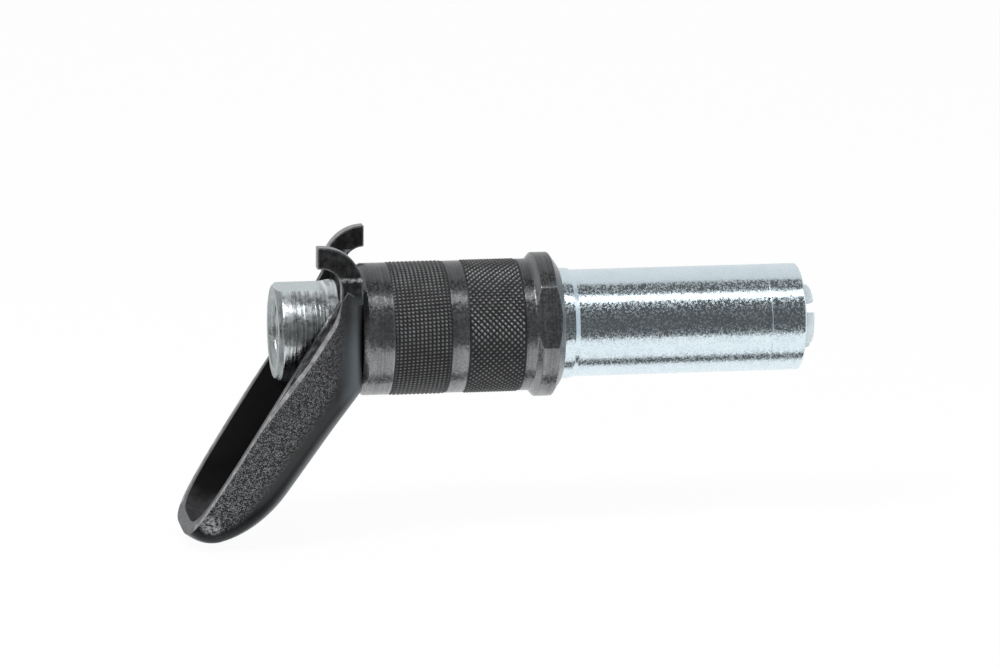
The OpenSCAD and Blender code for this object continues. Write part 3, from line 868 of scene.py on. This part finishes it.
def jaw_profile():
    """Outline of a jaw in millimetres: heel, arm, cone, tip, lip, pocket and flange."""
    cone_play, neck_len, neck_step = 0.12, 0.7, 0.3
    arm_r, heel_r, heel_in_r, flange_r, relief_r = 6.38, 7.15, 5.05, 5.95, 5.0
    tip_r, lip_r, pocket_r = 3.9, 3.0, 3.65
    heel_x, heel_end, arm_x = 63.45, 65.55, 67.45
    lip_x, lip_end, pocket_x = JAW_TIP - 2.8, JAW_TIP - 1.0, JAW_TIP - 8.6
    lip_slope, pocket_slope, arm_slope = 0.8, 1.2, 2.0
    cone_r = MOUTH_R - cone_play
    neck_x = NOSE_X - neck_len
    shoulder_x = NOSE_X - (arm_r - cone_r) / CONE_TAN
    points = [(heel_x, heel_in_r), (heel_x, heel_r), (heel_end, heel_r), (shoulder_x - arm_slope, arm_r),
              (shoulder_x, arm_r), (neck_x, cone_r + neck_len * CONE_TAN), (neck_x + neck_step, JAW_R),
              (JAW_TIP, JAW_R), (JAW_TIP, tip_r), (lip_end, lip_r), (lip_x, lip_r),
              (lip_x - lip_slope, pocket_r), (pocket_x, pocket_r), (pocket_x - pocket_slope, relief_r),
              (arm_x, relief_r), (arm_x, flange_r), (heel_end, flange_r), (heel_end, heel_in_r)]
    radius = [0, 0.15, 0.15, 0.2, 0.2, 0.1, 0.1, 0.6, 0.25, 0.15, 0.15, 0.1, 0.1, 0.1, 0.1, 0.1, 0.1, 0]
    return fillet(points, radius)


def make_jaw(name, angle_deg):
    """One jaw: the turned profile swept between two flat slot faces."""
    profile = jaw_profile()
    centre = math.radians(angle_deg)
    verts = []
    for x, r in profile:
        half = math.pi / 4.0 - math.asin(JAW_SLOT / 2.0 / r)
        for k in range(JAW_STEPS + 1):
            angle = centre + half * (2.0 * k / JAW_STEPS - 1.0)
            verts.append(around(x, r, angle))
    count = len(profile)
    width = JAW_STEPS + 1
    faces = grid_faces(count, width, wrap_rows=True, wrap_cols=False)
    faces.append(tuple(i * width for i in range(count)))
    faces.append(tuple(i * width + JAW_STEPS for i in reversed(range(count))))
    jaw = add_object(f"{name}_ground", verts, faces, ["jaw_steel"])
    face_outward(jaw)
    round_edges(jaw, JAW_ROUND, JAW_ROUND_ANGLE, segments=2)
    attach(jaw, name)
    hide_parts(name)


# Lever

def rise(u, start, r):
    """Height of a round curve that begins at a start."""
    return 0.0 if u <= start else r - math.sqrt(max(0.0, r * r - (u - start) ** 2))


def tip_lift(u):
    return rise(u, TIP_LIFT_U, TIP_CURVE_R) + rise(u, GRIP_LEN - TIP_ROUND, TIP_ROUND)


def grip_half(u, inset, close):
    """Half width of the lever; close is the share of width that is left near the tip."""
    if u <= GRIP_FULL_U:
        at_fork = smooth_step((GRIP_FULL_U - u) / (GRIP_FULL_U - FORK_FULL_U))
        return GRIP_W / 2.0 - inset + (FORK_W - GRIP_W) / 2.0 * at_fork
    return (GRIP_W / 2.0 - inset) * close


def spine_out(u):
    return -GRIP_TAN * u if u < 0.0 else tip_lift(u)


def spine_in(u):
    if u < HEEL_IN_U:
        return LEVER_T / GRIP_COS - GRIP_TAN * u
    return LEVER_T + tip_lift(u + TIP_IN_SHIFT * LEVER_T)


def rim_depth(u):
    return GRIP_DEPTH - GRIP_TAPER * u


def corner(u, inset):
    grown = smooth_step((u - FORK_FULL_U) / CORNER_GROW)
    if inset == 0.0:
        return CORNER_FORK + (CORNER_GRIP - CORNER_FORK) * grown
    return max(CORNER_LEAST, CORNER_IN_FORK + (CORNER_IN_GRIP - CORNER_IN_FORK) * grown - inset)


def place(u, y, v):
    """A point of the lever in the coupler's frame; v runs from the spine to the open rim."""
    return (PLATE_FRONT - GRIP_SIN * u - GRIP_COS * v, y, HEEL_Z - GRIP_COS * u + GRIP_SIN * v)


def stations(inset):
    """Places along the grip, with the share of width left at each."""
    heel_end, bend_end, straight_start = -0.6, 1.4, 2.2
    heel_points, straight_points, tip_points = 20, 12, 61
    full = [*np.linspace(TOP_U, heel_end, heel_points), 0.0, HEEL_IN_U, bend_end,
            *np.linspace(straight_start, GRIP_FULL_U, straight_points)]
    reach = GRIP_LEN - inset - GRIP_FULL_U
    tip = []
    for degrees in np.linspace(0.0, 90.0, tip_points)[1:]:
        a = math.radians(degrees)
        share = math.sin(a) ** (2.0 / TIP_POWER)
        tip.append((GRIP_FULL_U + reach * share, max(0.0, math.cos(a)) ** (2.0 / TIP_POWER)))
    return [(u, 1.0) for u in full] + tip


def rim_cut(u):
    """Share of the bevel along the rim, which fades out down the grip."""
    grown = smooth_step((u - TOP_U - RIM_CUT_TOP) / RIM_CUT_GROW)
    return smooth_step((RIM_CUT_END - u) / (RIM_CUT_END - FORK_FULL_U)) * grown


def rim_fade(u):
    """0 at the fork, 1 where the dark part of the rim has tapered out."""
    return smooth_step(u / RIM_FADE_U)


def half_outline(half, v_spine, v_rim, r, cut, dark):
    """One side of a slice, from its rim to the middle of its spine; dark is the upper share of the bevel."""
    up = 1.0 if v_rim > v_spine else -1.0
    room = min(r, abs(v_rim - v_spine) * CORNER_SHARE, half * CORNER_SHARE)
    lean = math.tan(WALL_DRAFT) * max(0.0, v_rim - v_spine - room)
    wall_steps, corner_steps, floor_steps = 10, 10, 8
    bevel = cut * min(1.0, abs(v_rim - v_spine) / RIM_CUT_WALL)
    rim = (half - RIM_CUT_Y * bevel, v_rim)
    top = (half, v_rim - up * (RIM_CUT_V * bevel + RIM_CUT_LEAST))
    out = [rim, between(rim, top, dark)]
    foot = (half - lean, v_spine + up * room)
    for k in range(wall_steps):
        out.append(between(top, foot, k / wall_steps))
    for k in range(corner_steps):
        a = math.pi / 2.0 * k / corner_steps
        out.append((half - lean - room + room * math.cos(a), v_spine + up * (room - room * math.sin(a))))
    edge = half - lean - room
    for k in range(floor_steps + 1):
        out.append((edge * (1.0 - k / floor_steps), v_spine))
    return out


def lever_slice(u, close, inset, spine):
    """The points across the lever at one place along it, from rim to rim."""
    half = grip_half(u, inset, close)
    cut = rim_cut(u) if inset == 0.0 else 0.0
    dark = max(RIM_THIN, RIM_DARK_BEVEL * (1.0 - rim_fade(u)))
    side = half_outline(half, spine(u), rim_depth(u), corner(u, inset), cut, dark)
    far_side = [(-y, v) for y, v in reversed(side[:-1])]
    return [place(u, y, v) for y, v in side + far_side]


# The lever's materials, and the place of each in their list
LEVER_COATS = ("lever_coat", "lever_inside", "lever_rim", "lever_rim_dark", "lever_tip", "hook_coat")
COAT, INSIDE, RIM, RIM_DARK, RIM_TIP, HOOK = range(len(LEVER_COATS))


def bevel_slot(u, row):
    """Material of a row of the outer skin: the rim's bevel has a dark upper part and a rubbed lower part."""
    if row > 1 or rim_cut(u) < RIM_CUT_LEAST:
        return COAT
    return RIM if row == 1 else RIM_DARK


def channel_mesh():
    """The pressed channel: outer skin, inner skin and the rim between them."""
    outer_at, inner_at = stations(0.0), stations(LEVER_T)
    outer = [lever_slice(u, c, 0.0, spine_out) for u, c in outer_at]
    inner = [lever_slice(u, c, LEVER_T, spine_in) for u, c in inner_at]
    rows, cols = len(outer), len(outer[0])
    verts = [p for row in outer + inner for p in row]
    skin = rows * cols
    # A line of points along the middle of each rim parts its rubbed edge from the dark rest
    middle = {}
    for j in (0, cols - 1):
        middle[j] = [len(verts) + i for i in range(rows)]
        for (u, _), a, b in zip(outer_at, outer, inner):
            light = max(RIM_THIN, RIM_LIGHT * rim_fade(u))
            verts.append(between(a[j], b[j], light))
    faces, slots = [], []
    for i in range(rows - 1):
        for j in range(cols - 1):
            a, b = i * cols + j, i * cols + j + 1
            c, d = (i + 1) * cols + j + 1, (i + 1) * cols + j
            faces.append((a, b, c, d))
            slots.append(bevel_slot(outer_at[i][0], min(j, cols - 2 - j)))
            faces.append((skin + d, skin + c, skin + b, skin + a))
            slots.append(INSIDE)
        for j in (0, cols - 1):
            a, b = i * cols + j, (i + 1) * cols + j
            m, k = middle[j][i], middle[j][i + 1]
            past = outer_at[i][0] > TIP_RIM_U
            for near, far, slot in (((a, b), (m, k), RIM), ((m, k), (skin + a, skin + b), RIM_DARK)):
                quad = (near[0], near[1], far[1], far[0])
                faces.append(quad if j == 0 else quad[::-1])
                slots.append(RIM_TIP if past else slot)
    for j in range(cols - 1):
        cap = [j + 1, j, skin + j, skin + j + 1]
        if j == 0:
            cap.insert(2, middle[0][0])
        if j == cols - 2:
            cap.append(middle[cols - 1][0])
        faces.append(tuple(cap))
        slots.append(INSIDE)
    return verts, faces, slots


def plate_mesh():
    """The flat plate between the inlet head and the body, with round front corners."""
    half = FORK_W / 2.0 - PLATE_INSET
    front, rear = PLATE_FRONT - PLATE_PLAY, PLATE_REAR + PLATE_PLAY
    corner_steps = 8
    outline = [(rear, -half)]
    for side in (-1.0, 1.0):
        for k in range(corner_steps + 1):
            share = k / corner_steps
            a = math.pi / 2.0 * (share if side > 0.0 else share - 1.0)
            outline.append((front - PLATE_CORNER + PLATE_CORNER * math.cos(a),
                            side * (half - PLATE_CORNER) + PLATE_CORNER * math.sin(a)))
    outline.append((rear, half))
    return extrude(outline, lambda p, depth: (p[0], p[1], depth), PLATE_FOOT, PLATE_TOP)


def hook_mesh(side, forward, centre_z, reach):
    """One finger hook in the plane of a wall, drawn from its root over its curl."""
    arm_x = (PLATE_FRONT + PLATE_REAR) / 2.0 - HOOK_BACK
    turn = 1.0 if forward else -1.0
    outer, inner = [(HOOK_W / 2.0, -HOOK_ROOT)], [(-HOOK_W / 2.0, -HOOK_ROOT)]
    for k in range(HOOK_STEPS + 1):
        a = math.pi / 2.0 * k / HOOK_STEPS
        for line, r in ((outer, HOOK_R + HOOK_W / 2.0), (inner, HOOK_R - HOOK_W / 2.0)):
            line.append((r * math.cos(a) - HOOK_R, r * math.sin(a)))
    outer.append((-HOOK_R - reach, HOOK_R + HOOK_W / 2.0))
    inner.append((-HOOK_R - reach, HOOK_R - HOOK_W / 2.0))
    outline = outer + inner[::-1]
    wide = FORK_W / 2.0 - SIDE_INSET
    return extrude(outline, lambda p, depth: (arm_x - turn * p[0], side * depth, centre_z + p[1]),
                   wide - LEVER_T + 2.0 * SIDE_INSET, wide)


def hole_mesh():
    """The cutter for the hole around the neck, taller than it is wide."""
    r = NECK_R + HOLE_PLAY
    outline = []
    for k in range(HOLE_STEPS):
        a = math.tau * (k + 0.5) / HOLE_STEPS
        outline.append((r * math.cos(a), r * math.sin(a) + (HOLE_RISE if math.sin(a) > 0.0 else 0.0)))
    return extrude(outline, lambda p, depth: (depth, p[0], p[1]), HOLE_REAR, HOLE_FRONT)


def cut_hole(base):
    """Cut the hole for the neck out of a piece."""
    verts, faces = hole_mesh()
    cutter = add_object("hole_cutter", verts, faces, [])
    face_outward(cutter, JOIN)
    step = base.modifiers.new("hole", "BOOLEAN")
    step.operation = "DIFFERENCE"
    step.solver = "EXACT"
    step.object = cutter
    bpy.context.view_layer.update()
    graph = bpy.context.evaluated_depsgraph_get()
    shaped = bpy.data.meshes.new_from_object(base.evaluated_get(graph))
    base.modifiers.remove(step)
    base.data = shaped
    bpy.data.objects.remove(cutter)


def lever_piece(name, verts, faces, slots=None, hole=False):
    piece = add_object(name, verts, faces, LEVER_COATS, face_slots=slots)
    face_outward(piece, JOIN)
    if hole:
        cut_hole(piece)
    piece.data.set_sharp_from_angle(angle=math.radians(LEVER_ROUND_ANGLE))
    round_edges(piece, LEVER_ROUND, LEVER_ROUND_ANGLE, segments=3)
    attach(piece, "lever")
    return piece


def make_lever():
    channel = lever_piece("lever_channel", *channel_mesh(), hole=True)
    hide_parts("lever")
    lever_piece("lever_plate", *plate_mesh(), hole=True)
    hooks = {"lever_hook_rear": hook_mesh(-1.0, False, HOOK_REAR_Z, HOOK_REACH),
             "lever_hook_front": hook_mesh(1.0, True, HOOK_FRONT_Z, 0.0)}
    for name, (verts, faces) in hooks.items():
        lever_piece(name, verts, faces, [HOOK] * len(faces))


# Springs, wound between the ends of their parts

# For each spring: mean radius, wire, turns, the joint it follows, that joint's travel, and its fixed end
SPRINGS = {
    "main_spring": (6.6, 1.6, 7, "sleeve_slide", 4.3, "front"),
    "check_spring": (1.5, 0.5, 4, "check_ball_lift", 1.0, "front"),
    "seal_spring": (2.1, 0.5, 4, "seal_float", 0.8, "rear"),
}


def coil_mesh(rear, front, r, wire, turns):
    """A wire wound around the axis."""
    steps, sides = TURN_STEPS * turns, WIRE_SIDES
    verts = []
    for i in range(steps + 1):
        share = i / steps
        turn = math.tau * turns * share
        middle = rear + wire / 2.0 + (front - rear - wire) * share
        for j in range(sides):
            side = math.tau * j / sides
            x = middle + wire / 2.0 * math.sin(side)
            radius = r + wire / 2.0 * math.cos(side)
            verts.append(around(x, radius, turn))
    faces = grid_faces(steps + 1, sides)
    faces.append(tuple(range(sides)))
    faces.append(tuple(steps * sides + j for j in reversed(range(sides))))
    return verts, faces


def make_spring(node, r, wire, turns, joint, travel, fixed):
    low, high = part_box(node)
    rear, front = low[0] / MM, high[0] / MM
    verts, faces = coil_mesh(rear, front, r, wire, turns)
    spring = add_object(f"{node}_wound", verts, faces, ["spring_steel"])
    face_outward(spring)
    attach(spring, "stem")
    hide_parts(node)
    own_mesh(spring)


# Inner pieces keep their solids and get their materials

INNER = {
    "jaw_spreader": "spring_steel", "rear_spring_washer": "plain_steel", "front_spring_washer": "plain_steel",
    "jaw_carrier": "plain_steel", "check_ball": "plain_steel", "valve_seat": "brass", "seal_backing": "brass",
    "sealing_washer": "copper", "nose_seal": "rubber",
}


def dress_inner():
    for node, name in INNER.items():
        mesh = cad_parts[node].data
        mesh.materials.clear()
        mesh.materials.append(MATS[name])


# Stage, light and camera

WHITE = (1.0, 1.0, 1.0)
FLOOR_SIZE = 3.0
FLOOR_FRONT = -0.085
FLOOR_GAP = 0.0006
FLOOR_COLOUR = (0.92, 0.93, 0.935)
FLOOR_PALE = (0.98, 0.99, 1.0)
# Tone of the painted shadow that bright metal mirrors in the floor
FLOOR_PAINTED_SHADOW = (0.10, 0.10, 0.105)
FLOOR_GLOW = 0.95
# Span across the floor, in metres, over which the painted shadow is laid
PAINTED_SHADOW_PLACE = (-0.030, 0.010)
# Height angle in degrees from the front, over the top, to the back, with the light seen there
ROOM_BANDS = ((-180, 0.80), (-100, 0.80), (-90, 0.10), (-22, 0.10), (54, 0.09), (58, 1.0), (68, 1.0),
              (72, 0.10), (98, 0.12), (104, 0.72), (150, 0.78), (180, 0.80))
SOFT_BOX_ANGLE = math.radians(63.0)
SOFT_BOX_HALF = math.radians(6.0)
SOFT_BOX_GAIN = 1.7
END_WALL = (0.62, 0.66, 0.70)
END_WALL_PLACE = (0.50, 0.70)
LAMP_AIM = Vector((0.03, 0.0, -0.01))


def make_floor():
    """A pale floor that shows white to the camera and keeps a faint shadow, with a painted shadow that only
    bright metal mirrors.
    """
    mesh = bpy.data.meshes.new("floor")
    corners = [(-FLOOR_SIZE, FLOOR_FRONT), (FLOOR_SIZE, FLOOR_FRONT),
               (FLOOR_SIZE, FLOOR_SIZE), (-FLOOR_SIZE, FLOOR_SIZE)]
    mesh.from_pydata([(x, y, cad_low.z - FLOOR_GAP) for x, y in corners], [], [(0, 1, 2, 3)])
    n = Nodes("floor")
    n.tree.nodes.remove(n.bsdf)
    diffuse = n.add("BsdfDiffuse", Color=(*FLOOR_COLOUR, 1.0))
    # Painted shadow: bright metal mirrors the floor with a dark band near the object, which only glossy rays
    # see
    across = n.share(n.part_of("Object", "Y"), *PAINTED_SHADOW_PLACE)
    painted_shadow_stripe = n.ramp(across, [(0.0, FLOOR_PALE), (0.30, FLOOR_PALE), (0.38, FLOOR_PAINTED_SHADOW), (0.58, FLOOR_PAINTED_SHADOW),
                             (0.66, FLOOR_PALE), (1.0, FLOOR_PALE)])
    path = n.add("LightPath").outputs
    glow = n.add("Emission")
    n.link(n.mix(path["Is Glossy Ray"], WHITE, painted_shadow_stripe), glow.inputs["Color"])
    mirrored = n.larger(path["Is Glossy Ray"], path["Is Transmission Ray"])
    glowing = n.larger(n.times(path["Is Camera Ray"], FLOOR_GLOW), mirrored)
    seen = n.mix_shader(glowing, diffuse.outputs["BSDF"], glow.outputs["Emission"])
    n.link(seen, n.tree.nodes["Material Output"].inputs["Surface"])
    mesh.materials.append(n.material)
    floor = link_object("floor", mesh)


def make_world():
    """A studio room: a long soft box over a dark front, a pale back wall and a grey wall past the nose."""
    world = bpy.data.worlds.new("studio")
    bpy.context.scene.world = world
    world.use_nodes = True
    world.node_tree.nodes.clear()
    n = Tree(world.node_tree)
    angle = n.calc("ARCTAN2", n.part_of("Generated", "Z"), n.times(n.part_of("Generated", "Y"), -1.0))
    stops = [((turn + 180.0) / 360.0, (v, v * 1.01, v * 1.02)) for turn, v in ROOM_BANDS]
    bands = n.ramp(n.share(angle, -math.pi, math.pi), stops)
    # The soft box at the front is brighter than the pale wall
    in_box = n.calc("COMPARE", angle, SOFT_BOX_ANGLE, SOFT_BOX_HALF)
    gain = n.plus(n.times(in_box, SOFT_BOX_GAIN), 1.0)
    at_end = n.share(n.part_of("Generated", "X"), *END_WALL_PLACE)
    light = n.add("Background")
    n.link(n.mix(at_end, bands, END_WALL), light.inputs["Color"])
    n.link(gain, light.inputs["Strength"])
    white = n.add("Background", Color=(*WHITE, 1.0), Strength=1.0)
    is_camera = n.add("LightPath").outputs["Is Camera Ray"]
    seen = n.mix_shader(is_camera, light.outputs["Background"], white.outputs["Background"])
    n.link(seen, n.add("OutputWorld").inputs["Surface"])


def make_lamp(name, size, energy, location):
    """A soft rectangular lamp that points at the object."""
    data = bpy.data.lights.new(name, "AREA")
    data.shape = "RECTANGLE"
    data.size, data.size_y = size
    data.energy = energy
    lamp = link_object(name, data)
    lamp.location = location
    aim = LAMP_AIM - lamp.location
    lamp.rotation_euler = aim.to_track_quat("-Z", "Y").to_euler()
    return lamp


def make_lights():
    """A key lamp from the upper left, and a fill from the front that bright metal doesn't mirror."""
    make_lamp("key", size=(0.22, 0.16), energy=2.0, location=(-0.25, -0.24, 0.52))
    fill = make_lamp("fill", size=(0.30, 0.30), energy=1.0, location=(0.0, -0.45, 0.10))
    fill.visible_glossy = False


# The camera: direction, roll and scale that lay the model over the photo
VIEW_AZIMUTH = math.radians(10.0)
VIEW_ELEVATION = math.radians(13.0)
VIEW_ROLL = math.radians(0.519)
VIEW_DISTANCE = 1.0
PIXELS_PER_MM = 6.055
TARGET = Vector((0.040, 0.0, 0.0))
TARGET_PIXEL = (518.56, 324.39)
IMAGE_SIZE = (1000.0, 667.0)
SENSOR_WIDTH = 36.0
CLIP_END = 20.0


def make_camera():
    a, e = VIEW_AZIMUTH, VIEW_ELEVATION
    back = Vector((-math.sin(a) * math.cos(e), -math.cos(a) * math.cos(e), math.sin(e)))
    right = Vector((math.cos(a), -math.sin(a), 0.0))
    up = back.cross(right)
    turned_right = right * math.cos(VIEW_ROLL) + up * math.sin(VIEW_ROLL)
    turned_up = -right * math.sin(VIEW_ROLL) + up * math.cos(VIEW_ROLL)
    off_x = (TARGET_PIXEL[0] - IMAGE_SIZE[0] / 2.0) / PIXELS_PER_MM * MM
    off_y = (IMAGE_SIZE[1] / 2.0 - TARGET_PIXEL[1]) / PIXELS_PER_MM * MM
    data = bpy.data.cameras.new("camera")
    data.sensor_width = SENSOR_WIDTH
    data.lens = SENSOR_WIDTH * VIEW_DISTANCE / (IMAGE_SIZE[0] / PIXELS_PER_MM * MM)
    data.clip_end = CLIP_END
    camera = link_object("camera", data)
    place_at = TARGET + back * VIEW_DISTANCE - turned_right * off_x - turned_up * off_y
    turn = Matrix((turned_right, turned_up, back)).transposed().to_4x4()
    camera.matrix_world = Matrix.Translation(place_at) @ turn
    bpy.context.scene.camera = camera


make_inlet()
make_body()
make_nose()
for jaw_name, jaw_angle in JAW_ANGLES.items():
    make_jaw(jaw_name, jaw_angle)
make_lever()
for spring_node, spring_values in SPRINGS.items():
    make_spring(spring_node, *spring_values)
dress_inner()
make_floor()
make_world()
make_lights()
make_camera()

bpy.context.scene.view_settings.view_transform = "Standard"
bpy.context.view_layer.update()
